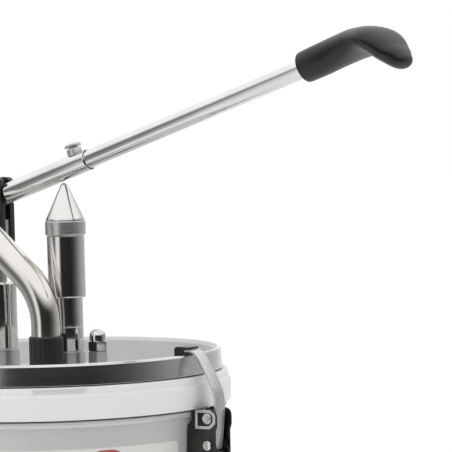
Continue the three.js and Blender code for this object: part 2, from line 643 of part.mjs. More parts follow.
function latchHandle(side, group) {
  const [px, pz] = LATCH.pivot;
  const { outer, tail, rolledEnd } = LATCH;
  const cheek = polygon([
    [px - 3.4, pz + 1.6], [px - 1.6, pz + 3.6], [px + 2.4, pz + 3.6], [px + 4.6, pz + 1.4], [outer, pz - 7],
    [outer, tail + 6], [outer - 4, tail + 6], [px - 2, pz - 22], [px - 4.6, pz - 14], [px - 4.2, pz - 5],
  ]);
  const sides = [1, -1].map((sign) => {
    const ends = [sign * LATCH.cheekIn, sign * LATCH.cheekOut].sort((a, b) => a - b);
    return plateXZ(cheek, ends[0], ends[1]);
  });
  const web = box(outer - 1.5, outer, -LATCH.cheekOut, LATCH.cheekOut, tail, pz - 15);
  const roll = pinY(rolledEnd, outer + 0.6, tail, -LATCH.cheekOut, LATCH.cheekOut, 12);
  const holes = [LATCH.pivot, LATCH_PIN].map(([x, z]) => pinY(2.35, x, z, -20, 20, 12));
  const handle = cut(join(web, sides[0], sides[1], roll), ...holes);
  add(`latch_handle_${side}`, handle, darkSteel, group);
  const pin = pinY(2, LATCH_PIN[0], LATCH_PIN[1], -LATCH.cheekOut, LATCH.cheekOut, 12);
  add(`strap_pin_${side}`, pin, satinSteel, group);
}

function latchStrap(side, group) {
  const [cx, cz] = LATCH_PIN;
  const band = strip([
    [cx + 0.9, cz + 4], [143.9, 209.5], [145, 218], [146, 227], [146.6, 235], [146.5, 240.4], [145.3, 246.3],
    [142.5, 252.4], [137, 262.4], [132.4, 269.8], [129, 273.6], [125.4, 274.65], [121, 274.65],
  ], LATCH.strap, LATCH.strapHalf);
  const eye = pinY(LATCH.eye, cx, cz, -LATCH.strapHalf, LATCH.strapHalf, SMALL);
  const bore = pinY(2.4, cx, cz, -20, 20, 12);
  add(`latch_strap_${side}`, cut(join(band, eye), bore), satinSteel, group);
  const pad = polygon([
    [113.6, 269.6], [116.9, 269.6], [117.4, 272.5], [125.6, 272.5], [125.6, 273.5], [120.6, 273.5],
    [120.6, 275.8], [125.6, 275.8], [125, 277.4], [115.4, 277.7], [113.6, 276.2],
  ]);
  add(`hook_pad_${side}`, plateXZ(pad, -LATCH.strapHalf - 1, LATCH.strapHalf + 1), blackPlastic, group);
}

function latches() {
  for (const [side, turn] of [["right", 0], ["left", Math.PI]]) {
    const group = new THREE.Group();
    group.rotation.z = turn;
    root.add(group);
    latchBase(side, group);
    for (const [face, sign] of [["front", -1], ["back", 1]]) {
      stubRivet(`pivot_rivet_${side}_${face}`, LATCH.pivot, sign, group);
    }
    latchHandle(side, group);
    latchStrap(side, group);
  }
}

containerBody();
saucePail();
lidPan();
bridgePlate();
pillarsAndNuts();
fulcrumPost();
forkStem();
forkCheeks();
pumpColumn();
returnSpring();
plunger();
piston();
barrelAndBlock();
outletUnion();
spout();
leverSleeve();
clamp();
leverRod();
handGrip();
latches();

export default root;
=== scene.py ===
"""Looks of the condiment pump dispenser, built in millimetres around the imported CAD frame."""

import json
import math

import bmesh
import bpy
from mathutils import Matrix, Vector
from mathutils.geometry import tessellate_polygon

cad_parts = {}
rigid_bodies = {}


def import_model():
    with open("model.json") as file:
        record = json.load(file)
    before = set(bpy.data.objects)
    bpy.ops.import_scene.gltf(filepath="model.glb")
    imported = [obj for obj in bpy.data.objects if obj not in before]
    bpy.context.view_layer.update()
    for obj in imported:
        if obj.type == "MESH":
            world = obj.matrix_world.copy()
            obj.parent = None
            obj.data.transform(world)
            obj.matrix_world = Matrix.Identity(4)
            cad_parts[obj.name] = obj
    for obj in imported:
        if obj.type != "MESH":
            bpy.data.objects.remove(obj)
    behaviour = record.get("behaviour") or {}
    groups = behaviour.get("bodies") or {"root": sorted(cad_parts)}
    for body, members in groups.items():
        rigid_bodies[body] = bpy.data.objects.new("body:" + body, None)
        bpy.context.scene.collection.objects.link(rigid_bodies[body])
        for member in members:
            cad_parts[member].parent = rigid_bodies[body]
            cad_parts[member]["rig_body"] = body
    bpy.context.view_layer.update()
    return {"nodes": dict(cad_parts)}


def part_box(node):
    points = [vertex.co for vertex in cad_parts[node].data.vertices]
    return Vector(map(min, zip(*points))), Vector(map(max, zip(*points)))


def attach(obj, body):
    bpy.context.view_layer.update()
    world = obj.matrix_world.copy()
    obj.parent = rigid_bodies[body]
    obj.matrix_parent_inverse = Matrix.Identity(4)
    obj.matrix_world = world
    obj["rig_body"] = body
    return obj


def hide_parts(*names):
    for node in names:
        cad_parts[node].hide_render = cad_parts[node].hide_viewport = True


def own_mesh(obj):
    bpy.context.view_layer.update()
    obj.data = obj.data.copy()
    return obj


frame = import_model()

MM = 0.001


# ---- places read from the frame -----------------------------------------------------------
def span(node):
    """Lowest and highest corner of a CAD node, in millimetres."""
    low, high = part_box(node)
    return low / MM, high / MM


def middle(node):
    low, high = span(node)
    return (low + high) / 2


RIM = span("lid_pan")[1].z
FLOOR = span("bridge_plate")[0].z - 0.3
DECK = span("bridge_plate")[1].z + 0.3
PUMP = middle("guide_tube")
POST = middle("post_collar")
OUTLET = middle("outlet_union")
PIVOT = middle("pivot_pin")
LEVER_SLOPE = math.radians(18)
ON_LEVER = Matrix.Translation((PIVOT.x, 0, PIVOT.z)) @ Matrix.Rotation(-LEVER_SLOPE, 4, "Y")
AT_PUMP = Matrix.Translation((PUMP.x, 0, 0))
AT_POST = Matrix.Translation((POST.x, 0, 0))
AT_OUTLET = Matrix.Translation((OUTLET.x, OUTLET.y, 0))
ALONG_X = Matrix.Rotation(math.pi / 2, 4, "Y")
UPRIGHT = Matrix.Rotation(-math.pi / 2, 4, "X")
TURN_180 = Matrix.Rotation(math.pi, 4, "Z")


# ---- materials ----------------------------------------------------------------------------
class Surface:
    """A principled material whose tone, roughness and relief come from noise in object space."""

    def __init__(self, name, metallic=0.0, turn=0.0):
        self.material = bpy.data.materials.new(name)
        self.material.use_nodes = True
        self.tree = self.material.node_tree
        self.shader = self.tree.nodes["Principled BSDF"]
        self.shader.inputs["Metallic"].default_value = metallic
        self.place = self.tree.nodes.new("ShaderNodeTexCoord").outputs["Object"]
        if turn:
            mapping = self.tree.nodes.new("ShaderNodeMapping")
            mapping.inputs["Rotation"].default_value = (0, turn, 0)
            self.tree.links.new(self.place, mapping.inputs["Vector"])
            self.place = mapping.outputs["Vector"]

    def noise(self, scale, detail=3.0):
        """Noise with its own scale along each axis, in cells per metre."""
        mapping = self.tree.nodes.new("ShaderNodeMapping")
        mapping.inputs["Scale"].default_value = scale
        noise = self.tree.nodes.new("ShaderNodeTexNoise")
        noise.inputs["Scale"].default_value = 1.0
        noise.inputs["Detail"].default_value = detail
        self.tree.links.new(self.place, mapping.inputs["Vector"])
        self.tree.links.new(mapping.outputs["Vector"], noise.inputs["Vector"])
        return noise.outputs["Fac"]

    def tone(self, factor, dark, light):
        ramp = self.tree.nodes.new("ShaderNodeValToRGB")
        ramp.color_ramp.elements[0].position = 0.32
        ramp.color_ramp.elements[1].position = 0.68
        ramp.color_ramp.elements[0].color = (*dark, 1)
        ramp.color_ramp.elements[1].color = (*light, 1)
        self.tree.links.new(factor, ramp.inputs["Fac"])
        self.tree.links.new(ramp.outputs["Color"], self.shader.inputs["Base Color"])
        return self

    def roughness(self, factor, low, high):
        spread = self.tree.nodes.new("ShaderNodeMapRange")
        spread.inputs["From Min"].default_value = 0.3
        spread.inputs["From Max"].default_value = 0.7
        spread.inputs["To Min"].default_value = low
        spread.inputs["To Max"].default_value = high
        self.tree.links.new(factor, spread.inputs["Value"])
        self.tree.links.new(spread.outputs["Result"], self.shader.inputs["Roughness"])
        return self

    def relief(self, factor, depth, strength):
        """Bumps of about this depth, in millimetres."""
        bump = self.tree.nodes.new("ShaderNodeBump")
        bump.inputs["Strength"].default_value = strength
        bump.inputs["Distance"].default_value = depth * MM
        self.tree.links.new(factor, bump.inputs["Height"])
        self.tree.links.new(bump.outputs["Normal"], self.shader.inputs["Normal"])
        return self


def steel(name, dark, light, rough, grain, relief, turn=0.0, metallic=1.0):
    """Stainless steel with its polishing or brushing lines along the axes where grain is low."""
    surface = Surface(name, metallic=metallic, turn=turn)
    surface.tone(surface.noise((26, 26, 26)), dark, light)
    lines = surface.noise(grain, 4.0)
    surface.roughness(lines, *rough)
    surface.relief(lines, relief, 0.5)
    return surface.material


def moulded(name, dark, light, rough, grain, relief):
    """Moulded plastic or rubber with a fine skin."""
    surface = Surface(name)
    surface.tone(surface.noise((40, 40, 40), 5.0), dark, light)
    skin = surface.noise((grain, grain, grain), 2.0)
    surface.roughness(skin, *rough)
    surface.relief(skin, relief, 0.6)
    return surface.material


TURNED = (14, 14, 2600)
DRAWN = (12, 1900, 1900)
MIRROR = steel("polished_columns", (0.67, 0.66, 0.645), (0.76, 0.75, 0.735), (0.05, 0.13), TURNED, 0.0012)
LEVER_STEEL = steel("polished_lever", (0.72, 0.71, 0.70), (0.82, 0.81, 0.80), (0.09, 0.17), DRAWN, 0.0012,
                    turn=LEVER_SLOPE)
PIPE_STEEL = steel("polished_pipe", (0.71, 0.69, 0.655), (0.80, 0.78, 0.745), (0.10, 0.19), (600, 600, 600),
                   0.001)
LID_STEEL = steel("polished_lid", (0.62, 0.62, 0.62), (0.71, 0.71, 0.705), (0.16, 0.26), TURNED, 0.0016)
BODY_STEEL = steel("brushed_body", (0.665, 0.66, 0.65), (0.685, 0.68, 0.67), (0.40, 0.52), TURNED, 0.003,
                   metallic=0.3)
SATIN = steel("satin_fittings", (0.55, 0.545, 0.535), (0.66, 0.655, 0.645), (0.26, 0.38), TURNED, 0.0008,
              metallic=0.85)
CONE_STEEL = steel("polished_cone", (0.72, 0.715, 0.70), (0.80, 0.795, 0.78), (0.13, 0.2), TURNED, 0.0006)
PAN_STEEL = steel("satin_pan", (0.66, 0.66, 0.66), (0.72, 0.72, 0.72), (0.34, 0.44), TURNED, 0.0012,
                  metallic=0.35)
LATCH_STEEL = steel("stamped_latch", (0.56, 0.555, 0.545), (0.68, 0.67, 0.66), (0.22, 0.34), (90, 1500, 90), 0.002,
                    metallic=0.7)
# Near-black steel. On the latch ears it is painted shade for their shaded faces; the latch handles, the strap eyes
# and the return spring are drawn in it too.
DARK_STEEL_AND_PAINTED_SHADE = steel("dark_steel_and_painted_shade", (0.045, 0.045, 0.045), (0.09, 0.09, 0.088), (0.28, 0.42), (500, 500, 500),
                   0.002)
WHITE = moulded("white_pail_plastic", (0.815, 0.815, 0.81), (0.84, 0.84, 0.835), (0.34, 0.46), 900, 0.01)
BLACK = moulded("black_fitting_plastic", (0.008, 0.008, 0.009), (0.016, 0.016, 0.018), (0.26, 0.40), 1400, 0.008)
GRIP = moulded("black_grip_plastic", (0.006, 0.006, 0.008), (0.012, 0.012, 0.015), (0.34, 0.45), 1700, 0.016)
ACETAL = moulded("natural_acetal", (0.70, 0.68, 0.62), (0.80, 0.78, 0.72), (0.38, 0.5), 1200, 0.006)
RUBBER = moulded("seal_rubber", (0.02, 0.02, 0.02), (0.05, 0.05, 0.05), (0.6, 0.8), 1500, 0.02)
PAPER = moulded("label_paper", (0.73, 0.715, 0.685), (0.755, 0.74, 0.71), (0.42, 0.55), 1200, 0.004)
RED_INK = moulded("label_red_ink", (0.52, 0.05, 0.035), (0.62, 0.085, 0.055), (0.36, 0.48), 1200, 0.003)
GREY_INK = moulded("label_grey_ink", (0.24, 0.24, 0.24), (0.31, 0.31, 0.31), (0.4, 0.52), 1200, 0.003)


# ---- mesh makers, in millimetres ----------------------------------------------------------
def rounded(corners, closed=True, steps=6):
    """A polyline through corners (x, y, radius); each radius turns its corner into a curve."""
    points = []
    count = len(corners)
    for i, corner in enumerate(corners):
        here = Vector(corner[:2])
        at_end = not closed and i in (0, count - 1)
        if len(corner) < 3 or at_end:
            points.append(here)
            continue
        back = Vector(corners[i - 1][:2]) - here
        ahead = Vector(corners[(i + 1) % count][:2]) - here
        reach = corner[2] / math.tan(back.angle(ahead) / 2)
        reach = min(reach, 0.49 * back.length, 0.49 * ahead.length)
        start = here + back.normalized() * reach
        end = here + ahead.normalized() * reach
        for k in range(steps + 1):
            t = k / steps
            points.append(start * (1 - t) ** 2 + here * (2 * t * (1 - t)) + end * t ** 2)
    return points


def circle(radius, centre=(0, 0), sides=32):
    return [Vector((centre[0] + radius * math.cos(2 * math.pi * k / sides),
                    centre[1] + radius * math.sin(2 * math.pi * k / sides)))
            for k in range(sides)]


def lathe(profile, sides=96, closed=False, shape=None):
    """A profile of (radius, z) turned about Z. shape(angle, r, z) may move a point's radius."""
    bm = bmesh.new()
    rows = []
    for r, z in profile:
        if r < 1e-6:
            rows.append([bm.verts.new((0, 0, z))])
            continue
        row = []
        for k in range(sides):
            angle = 2 * math.pi * k / sides
            radius = shape(angle, r, z) if shape else r
            row.append(bm.verts.new((radius * math.cos(angle), radius * math.sin(angle), z)))
        rows.append(row)
    pairs = list(zip(rows, rows[1:] + rows[:1]))
    for low, high in pairs if closed else pairs[:-1]:
        for k in range(sides):
            n = (k + 1) % sides
            corners = [low[k % len(low)], low[n % len(low)], high[n % len(high)], high[k % len(high)]]
            corners = list(dict.fromkeys(corners))
            if len(corners) > 2:
                bm.faces.new(corners)
    return bm


def slab(outline, low, high, holes=(), upright=False):
    """An outline with holes, extruded along Z, or along Y with its own second axis as Z."""
    loops = [list(outline), *[list(hole) for hole in holes]]
    flat = [point for loop in loops for point in loop]
    bm = bmesh.new()

    def corner(point, level):
        return bm.verts.new((point[0], level, point[1]) if upright else (point[0], point[1], level))

    bottom = [corner(point, low) for point in flat]
    top = [corner(point, high) for point in flat]
    for a, b, c in tessellate_polygon([[(*point[:2], 0) for point in loop] for loop in loops]):
        bm.faces.new((bottom[a], bottom[b], bottom[c]))
        bm.faces.new((top[c], top[b], top[a]))
    first = 0
    for loop in loops:
        for k in range(len(loop)):
            a, b = first + k, first + (k + 1) % len(loop)
            bm.faces.new((bottom[a], bottom[b], top[b], top[a]))
        first += len(loop)
    return bm


def skin(rings, closed_path=False):
    """A surface through rings of points, with a flat face at each end."""
    bm = bmesh.new()
    rows = [[bm.verts.new(point) for point in ring] for ring in rings]
    sides = len(rows[0])
    for low, high in zip(rows, rows[1:] + (rows[:1] if closed_path else [])):
        for k in range(sides):
            bm.faces.new((low[k], low[(k + 1) % sides], high[(k + 1) % sides], high[k]))
    if not closed_path:
        bm.faces.new(reversed(rows[0]))
        bm.faces.new(rows[-1])
    return bm


def moved(bm, matrix):
    bm.transform(matrix)
    return bm


def tidy(bm):
    bmesh.ops.remove_doubles(bm, verts=bm.verts, dist=1e-4)
    bmesh.ops.recalc_face_normals(bm, faces=bm.faces)
    return bm


def evaluated(obj):
    bpy.context.view_layer.update()
    return bpy.data.meshes.new_from_object(obj.evaluated_get(bpy.context.evaluated_depsgraph_get()))


def combine(operation, base, tools):
    """The base joined with the tools, or cut by them."""
    made = []
    for bm in (base, *tools):
        mesh = bpy.data.meshes.new("solid")
        tidy(bm).to_mesh(mesh)
        obj = bpy.data.objects.new("solid", mesh)
        bpy.context.scene.collection.objects.link(obj)
        made.append(obj)
    for tool in made[1:]:
        modifier = made[0].modifiers.new("combine", "BOOLEAN")
        modifier.operation = operation
        modifier.solver = "EXACT"
        modifier.object = tool
    result = bmesh.new()
    result.from_mesh(evaluated(made[0]))
    for obj in made:
        bpy.data.objects.remove(obj)
    return result


def join(base, *tools):
    return combine("UNION", base, tools)


def cut(base, *tools):
    return combine("DIFFERENCE", base, tools)


def eased(bm, width, angle=30):
    """The same solid with its sharp edges rounded."""
    tidy(bm)
    sharp = [e for e in bm.edges if e.is_manifold and e.calc_face_angle() > math.radians(angle)]
    bmesh.ops.bevel(bm, geom=sharp, offset=width, segments=3, profile=0.5, affect="EDGES",
                    clamp_overlap=True)
    return bm


def piece(name, bm, material, nodes=(), body=None, matrix=Matrix(), smooth=35):
    """Makes a visible piece that stands for CAD nodes, or rides on a body of its own."""
    tidy(bm)
    bm.transform(Matrix.Scale(MM, 4) @ matrix)
    mesh = bpy.data.meshes.new(name)
    bm.to_mesh(mesh)
    bm.free()
    mesh.materials.append(material)
    mesh.shade_smooth()
    mesh.set_sharp_from_angle(angle=math.radians(smooth))
    obj = bpy.data.objects.new(name, mesh)
    bpy.context.scene.collection.objects.link(obj)
    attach(obj, body or frame["nodes"][nodes[0]]["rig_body"])
    if nodes:
        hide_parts(*nodes)
    return obj


def fine(node, bm, material, matrix=Matrix(), smooth=35):
    """The finely made piece that stands for one CAD node."""
    return piece(f"{node}_fine", bm, material, (node,), None, matrix, smooth)


# ---- container, pail and label ------------------------------------------------------------
CONTAINER_HEIGHT = 228.4
CONTAINER_FOOT = 112
CONTAINER_TOP = 125.5
SHEET = 1.2
FINE_SIDES = 192
PAIL_BAND_BOTTOM = 233.2


def wall_radius(z):
    return CONTAINER_FOOT + (CONTAINER_TOP - CONTAINER_FOOT) * z / CONTAINER_HEIGHT


def container():
    bead = 1.7
    centre = Vector((CONTAINER_TOP + bead - 0.6, CONTAINER_HEIGHT + bead))
    rolled = []
    for k in range(19):
        angle = math.radians(-90 + 225 * k / 18)
        rolled.append(centre + bead * Vector((math.cos(angle), math.sin(angle))))
    foot = CONTAINER_FOOT
    outside = rounded([(0, 0), (foot - 14, 0), (foot - 12, 1.2), (foot - 8, 0.2), (foot - 4, 0, 2), (foot, 4.5, 3),
                       (CONTAINER_TOP, CONTAINER_HEIGHT - 1)], closed=False)
    inside = rounded([(CONTAINER_TOP - SHEET, CONTAINER_HEIGHT - 2), (foot - SHEET, 5, 3), (foot - 5.5, 1.6),
                      (0, 1.6)], closed=False)
    fine("outer_container", lathe([*outside, *rolled, *inside], FINE_SIDES), BODY_STEEL)


def pail():
    foot, band, bead, ledge, top = 104, 131.6, 129.4, 250.8, 256
    bottom = PAIL_BAND_BOTTOM
    outer = CONTAINER_TOP - 5
    notch = (math.radians(-60), math.radians(-43.5))

    def drip_gap(angle, r, z):
        signed = math.remainder(angle, 2 * math.pi)
        inside = notch[0] < signed < notch[1]
        return r - 2.2 if inside and z > ledge + 1.2 and r > bead - 2.5 and z < top - 0.9 else r

    profile = rounded([
        (0, 3), (foot - 5, 3, 2), (foot, 8, 3), (outer - 0.6, bottom - 4), (outer, bottom, 0.6),
        (band - 0.5, bottom, 0.9), (band, bottom + 8), (band - 0.3, ledge - 0.6, 1.1), (bead + 0.4, ledge, 0.6),
        (bead, ledge + 1.4), (bead, top - 1, 0.9), (bead - 0.9, top, 0.9), (outer - 1, top, 1.2),
        (outer - 3, ledge), (outer - 3.2, bottom - 6), (foot - 2.4, 9, 3), (foot - 6, 5.4, 2), (0, 5.4),
    ], closed=False)
    fine("sauce_pail", lathe(profile, 288, shape=drip_gap), WHITE)


def wall_patch(name, angles, heights, lift, material, corner=4.0, columns=60, rows=16):
    """A thin sheet with round corners, wrapped on the container's wall."""
    thickness = 0.12
    left, right = (math.radians(a) for a in angles)
    low, high = heights
    wide = (right - left) * wall_radius(high)

    def point(u, v, rise):
        x, y = (u - 0.5) * wide, (v - 0.5) * (high - low)
        over_x = max(0.0, abs(x) - (wide / 2 - corner))
        over_y = max(0.0, abs(y) - ((high - low) / 2 - corner))
        reach = math.hypot(over_x, over_y)
        if reach > corner:
            x -= math.copysign(over_x * (1 - corner / reach), x)
            y -= math.copysign(over_y * (1 - corner / reach), y)
        z = (low + high) / 2 + y
        angle = (left + right) / 2 + x / wall_radius(high)
        radius = wall_radius(z) + lift + rise
        return (radius * math.cos(angle), radius * math.sin(angle), z)

    bm = bmesh.new()
    sheets = []
    for rise in (0, thickness):
        sheets.append([[bm.verts.new(point(i / columns, j / rows, rise)) for i in range(columns + 1)]
                       for j in range(rows + 1)])
    for j in range(rows):
        for i in range(columns):
            for sheet in sheets:
                bm.faces.new((sheet[j][i], sheet[j][i + 1], sheet[j + 1][i + 1], sheet[j + 1][i]))
    under, over = sheets
    rim = [(0, i) for i in range(columns)] + [(j, columns) for j in range(rows)]
    rim += [(rows, i) for i in range(columns, 0, -1)] + [(j, 0) for j in range(rows, 0, -1)]
    for (j, i), (n, m) in zip(rim, rim[1:] + rim[:1]):
        bm.faces.new((under[j][i], under[n][m], over[n][m], over[j][i]))
    piece(name, bm, material, body="base", smooth=60)


def label():
    wall_patch("label_sheet", (-96, -8.6), (92, 212.3), 0.06, PAPER)
    wall_patch("label_red_field", (-43, -29.8), (176, 210.6), 0.22, RED_INK, corner=11, columns=30)
    wall_patch("label_red_band", (-92, -12.6), (96, 108), 0.22, RED_INK, corner=2)
    for i, width in enumerate((30, 24, 27)):
        height = 164 - 14 * i
        wall_patch(f"label_grey_bar_{i + 1}", (-52 - width / 2, -52 + width / 2), (height, height + 4), 0.22,
                   GREY_INK, corner=1, columns=24, rows=4)


# ---- lid ----------------------------------------------------------------------------------
PUMP_HOLE = 11
RISER_HOLE = 9.7


def lid():
    hem_radius, rim_radius, wall, floor_radius, hem = 125.8, 124.8, 122.2, 114.6, 256.8
    profile = rounded([
        (0, FLOOR - SHEET), (floor_radius - 3, FLOOR - SHEET, 4), (floor_radius + 1, FLOOR + 1.6, 4),
        (wall - SHEET, RIM - 3, 1), (wall + 0.4, RIM - SHEET, 0.6), (rim_radius - 1.4, RIM - SHEET, 0.6),
        (rim_radius - SHEET, RIM - 2.4), (hem_radius - SHEET, hem, 0.5), (hem_radius, hem, 0.5),
        (rim_radius, RIM - 1.6, 1.5), (rim_radius - 1, RIM, 1.2), (wall + 0.2, RIM, 1.2),
        (wall - SHEET - 1.1, RIM - 2.6, 2), (floor_radius - 0.4, FLOOR + 2.6, 4), (floor_radius - 3.4, FLOOR, 4),
        (0, FLOOR),
    ], closed=False, steps=8)
    holes = [moved(slab(circle(PUMP_HOLE), FLOOR - 4, FLOOR + 4), AT_PUMP),
             moved(slab(circle(RISER_HOLE), FLOOR - 4, FLOOR + 4), AT_OUTLET)]
    pan = fine("lid_pan", cut(lathe(profile, 256), *holes), LID_STEEL, smooth=28)
    pan.data.materials.append(PAN_STEEL)
    for face in pan.data.polygons:
        middle_radius = math.hypot(face.center.x, face.center.y) / MM
        if middle_radius < wall and face.center.z / MM > FLOOR - 0.4:
            face.material_index = 1


def bridge():
    low, high = span("bridge_plate")
    outline = rounded([(low.x, low.y, 9), (high.x, low.y, 9), (high.x, high.y, 9), (low.x, high.y, 9)], steps=10)
    holes = [circle(PUMP_HOLE, (PUMP.x, 0)), circle(RISER_HOLE, (OUTLET.x, OUTLET.y))]
    holes += [circle(4.4, (middle(f"pillar_{side}").x, 0)) for side in ("right", "left")]
    fine("bridge_plate", eased(slab(outline, low.z, high.z, holes), 0.5), SATIN)


def hexagon(across_flats, low, high, chamfer=0.8):
    """A hexagonal bar with its ends chamfered the way a nut's are."""
    corner = across_flats / math.sqrt(3)
    rise = chamfer * 0.5
    cone = lathe([(0, low), (corner - chamfer, low), (corner + 0.02, low + rise), (corner + 0.02, high - rise),
                  (corner - chamfer, high), (0, high)], 72)
    return combine("INTERSECT", slab(circle(corner, sides=6), low - 1, high + 1), [cone])


def nuts():
    for side in ("right", "left"):
        at = Matrix.Translation((middle(f"acorn_nut_{side}").x, 0, 0))
        low, high = span(f"pillar_{side}")
        bar = join(hexagon(13, DECK, high.z), lathe([(0, low.z), (4, low.z), (4, DECK + 3), (0, DECK + 3)], 32))
        fine(f"pillar_{side}", bar, SATIN, at)
        low, high = span(f"acorn_nut_{side}")
        shoulder = low.z + 7.1
        ball = 6.1
        dome = [(0, low.z + 1), (ball, low.z + 1)]
        dome += [(ball * math.cos(math.radians(a)), high.z - ball + ball * math.sin(math.radians(a)))
                 for a in range(0, 90, 5)]
        dome.append((0, high.z))
        fine(f"acorn_nut_{side}", join(hexagon(13, low.z, shoulder, 1.1), lathe(dome, 64)), MIRROR,
             at, smooth=24)


# ---- fulcrum post and fork ----------------------------------------------------------------
def screw_head(reach, head, radius, shank, drive):
    """A bolt along Z, headed at both ends, with a drive recess in each head."""
    half = [(0, reach + head), (radius, reach + head, 0.7), (radius, reach, 0.25), (shank, reach)]
    profile = rounded([*half, *[(p[0], -p[1], *p[2:]) for p in reversed(half)]], closed=False)
    bolt = lathe(profile, 48)
    tools = []
    for end in (1, -1):
        face = end * (reach + head)
        levels = sorted((face - end * 1.1, face + end))
        tools.append(slab(drive, *levels))
    return cut(bolt, *tools)


def post():
    low, high = span("post_collar")
    ring = rounded([(10.4, low.z), (12.4, low.z, 0.4), (12.4, high.z, 0.8), (10.4, high.z, 0.3)])
    fine("post_collar", lathe(ring, closed=True), SATIN, AT_POST)
    low, high = span("fulcrum_post")
    bore = 4.9
    fine("fulcrum_post", lathe(rounded([
        (bore, RIM + 10), (8.6, RIM + 10), (8.6, low.z + 2), (10, low.z), (10, RIM + 0.9), (11.5, RIM + 0.9, 0.5),
        (11.5, high.z - 2, 0.8), (10.2, high.z - 0.5, 0.6), (8.4, high.z, 0.6), (bore, high.z, 0.3),
    ]), closed=True), MIRROR, AT_POST)
    low, high = span("fork_stem")
    tang_low = RIM + 61
    tang = slab(rounded([(-7, tang_low, 1), (7, tang_low, 1), (7, high.z, 1.2), (-7, high.z, 1.2)]), -2.5, 2.5,
                upright=True)
    stem = lathe(rounded([(0, low.z), (4.6, low.z, 0.6), (4.6, tang_low + 1), (0, tang_low + 1)], closed=False), 48)
    holes = [moved(slab(circle(2.3), -9, 9, upright=True), Matrix.Translation((0, 0, middle(f"fork_screw_{k}").z)))
             for k in ("lower", "upper")]
    fine("fork_stem", cut(join(eased(tang, 0.3), stem), *holes), SATIN, AT_POST)


def fork():
    for side in ("front", "back"):
        low, high = span(f"fork_cheek_{side}")
        outline = rounded([(-8, low.z, 1.2), (8, low.z, 1.2), (8, high.z, 5), (-8, high.z, 5)], steps=10)
        holes = [circle(2.3, (0, middle(f"fork_screw_{k}").z)) for k in ("lower", "upper")]
        holes.append(circle(3.3, (0, PIVOT.z)))
        cheek = eased(slab(outline, low.y, high.y, holes, upright=True), 0.6)
        fine(f"fork_cheek_{side}", cheek, BLACK, AT_POST)
    reach = span("fork_cheek_back")[1].y + 0.3
    for level in ("lower", "upper"):
        at = Matrix.Translation((POST.x, 0, middle(f"fork_screw_{level}").z)) @ UPRIGHT
        bolt = screw_head(reach, 2.2, 4, 2, circle(1.7, sides=6))
        fine(f"fork_screw_{level}", bolt, SATIN, at)
    pin = screw_head(reach, 2, 4.8, 3, [Vector(p) for p in ((-5, -0.5), (5, -0.5), (5, 0.5), (-5, 0.5))])
    fine("pivot_pin", pin, SATIN, Matrix.Translation((POST.x, 0, PIVOT.z)) @ UPRIGHT)


# ---- pump above the lid -------------------------------------------------------------------
def pump():
    low, high = span("pump_base")
    fine("pump_base", lathe(rounded([
        (7, low.z), (13.4, low.z, 0.3), (13.4, low.z + 1.6, 0.8), (12.2, low.z + 3, 0.8), (12.2, high.z, 0.6),
        (10.3, high.z, 0.2), (10.3, low.z + 5), (7, low.z + 5),
    ]), closed=True), SATIN, AT_PUMP)
    low, high = span("guide_tube")
    step = RIM + 0.2
    fine("guide_tube", lathe(rounded([
        (8.8, low.z), (10, low.z), (10, step), (11.5, step, 0.5), (11.5, RIM + 17.6, 0.3), (11.3, RIM + 17.8, 0.1),
        (11.3, RIM + 18.4, 0.1), (11.5, RIM + 18.6, 0.3), (11.5, high.z, 0.6), (8.8, high.z, 0.4),
    ]), closed=True), MIRROR, AT_PUMP)
    low, high = span("plunger_cap")
    fine("plunger_cap", lathe(rounded([
        (12.2, low.z, 0.4), (13.5, low.z, 0.5), (14, low.z + 1, 0.5), (14, high.z - 0.4, 0.3), (13.7, high.z, 0.2),
        (12.2, high.z, 0.2),
    ]), 128, closed=True), MIRROR, AT_PUMP)
    low, high = span("cap_collar")
    fine("cap_collar", lathe(rounded([
        (4.3, low.z), (14.4, low.z, 0.2), (15, low.z + 0.8, 0.4), (15, high.z - 0.8, 0.4), (14.5, high.z, 0.3),
        (4.3, high.z),
    ]), 128, closed=True), SATIN, AT_PUMP)
    low, high = span("cap_cone")
    fine("cap_cone", lathe(rounded([
        (0, low.z), (14.6, low.z, 0.3), (14.2, low.z + 1.4, 2), (2.6, high.z - 1.2, 1.4), (0.9, high.z, 0.8),
        (0, high.z),
    ], closed=False, steps=10), 128), CONE_STEEL, AT_PUMP)


SPRING_TURNS = 6
WIRE_RADIUS = 0.9


def return_spring():
    low, high = span("return_spring")
    radius = (high.x - low.x) / 2 - WIRE_RADIUS
    steps, sides = SPRING_TURNS * 36, 12
    rings = []
    for i in range(steps + 1):
        angle = 2 * math.pi * SPRING_TURNS * i / steps
        outward = Vector((math.cos(angle), math.sin(angle), 0))
        height = low.z + WIRE_RADIUS + (high.z - low.z - 2 * WIRE_RADIUS) * i / steps
        centre = outward * radius + Vector((0, 0, height))
        rings.append([centre + WIRE_RADIUS * (math.cos(b) * outward + math.sin(b) * Vector((0, 0, -1)))
                      for b in (2 * math.pi * k / sides for k in range(sides))])
    spring = fine("return_spring", skin(rings), DARK_STEEL_AND_PAINTED_SHADE, AT_PUMP)
    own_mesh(spring)


# ---- spout --------------------------------------------------------------------------------
def frames_along(path):
    """A pair of unit vectors across the path at each of its points, which all lie in one XZ plane."""
    across = Vector((0, 1, 0))
    for i, point in enumerate(path):
        ahead = (path[min(i + 1, len(path) - 1)] - path[max(i - 1, 0)]).normalized()
        yield point, ahead, across, ahead.cross(across)


def pipe(path, outer, inner, sides=64):
    """A hollow tube along a path, closed to a wall at both ends."""
    def loops(radius):
        return [[p + radius * (math.cos(a) * u + math.sin(a) * v)
                 for a in (2 * math.pi * k / sides for k in range(sides))]
                for p, _, u, v in frames_along(path)]

    lip = 0.4
    outside, inside = loops(outer), loops(inner)
    ends = loops((outer + inner) / 2)
    ahead = [t for _, t, _, _ in frames_along(path)]
    first = [[q - ahead[0] * lip for q in ends[0]]]
    last = [[q + ahead[-1] * lip for q in ends[-1]]]
    return skin([*outside, *last, *reversed(inside), *first], closed_path=True)


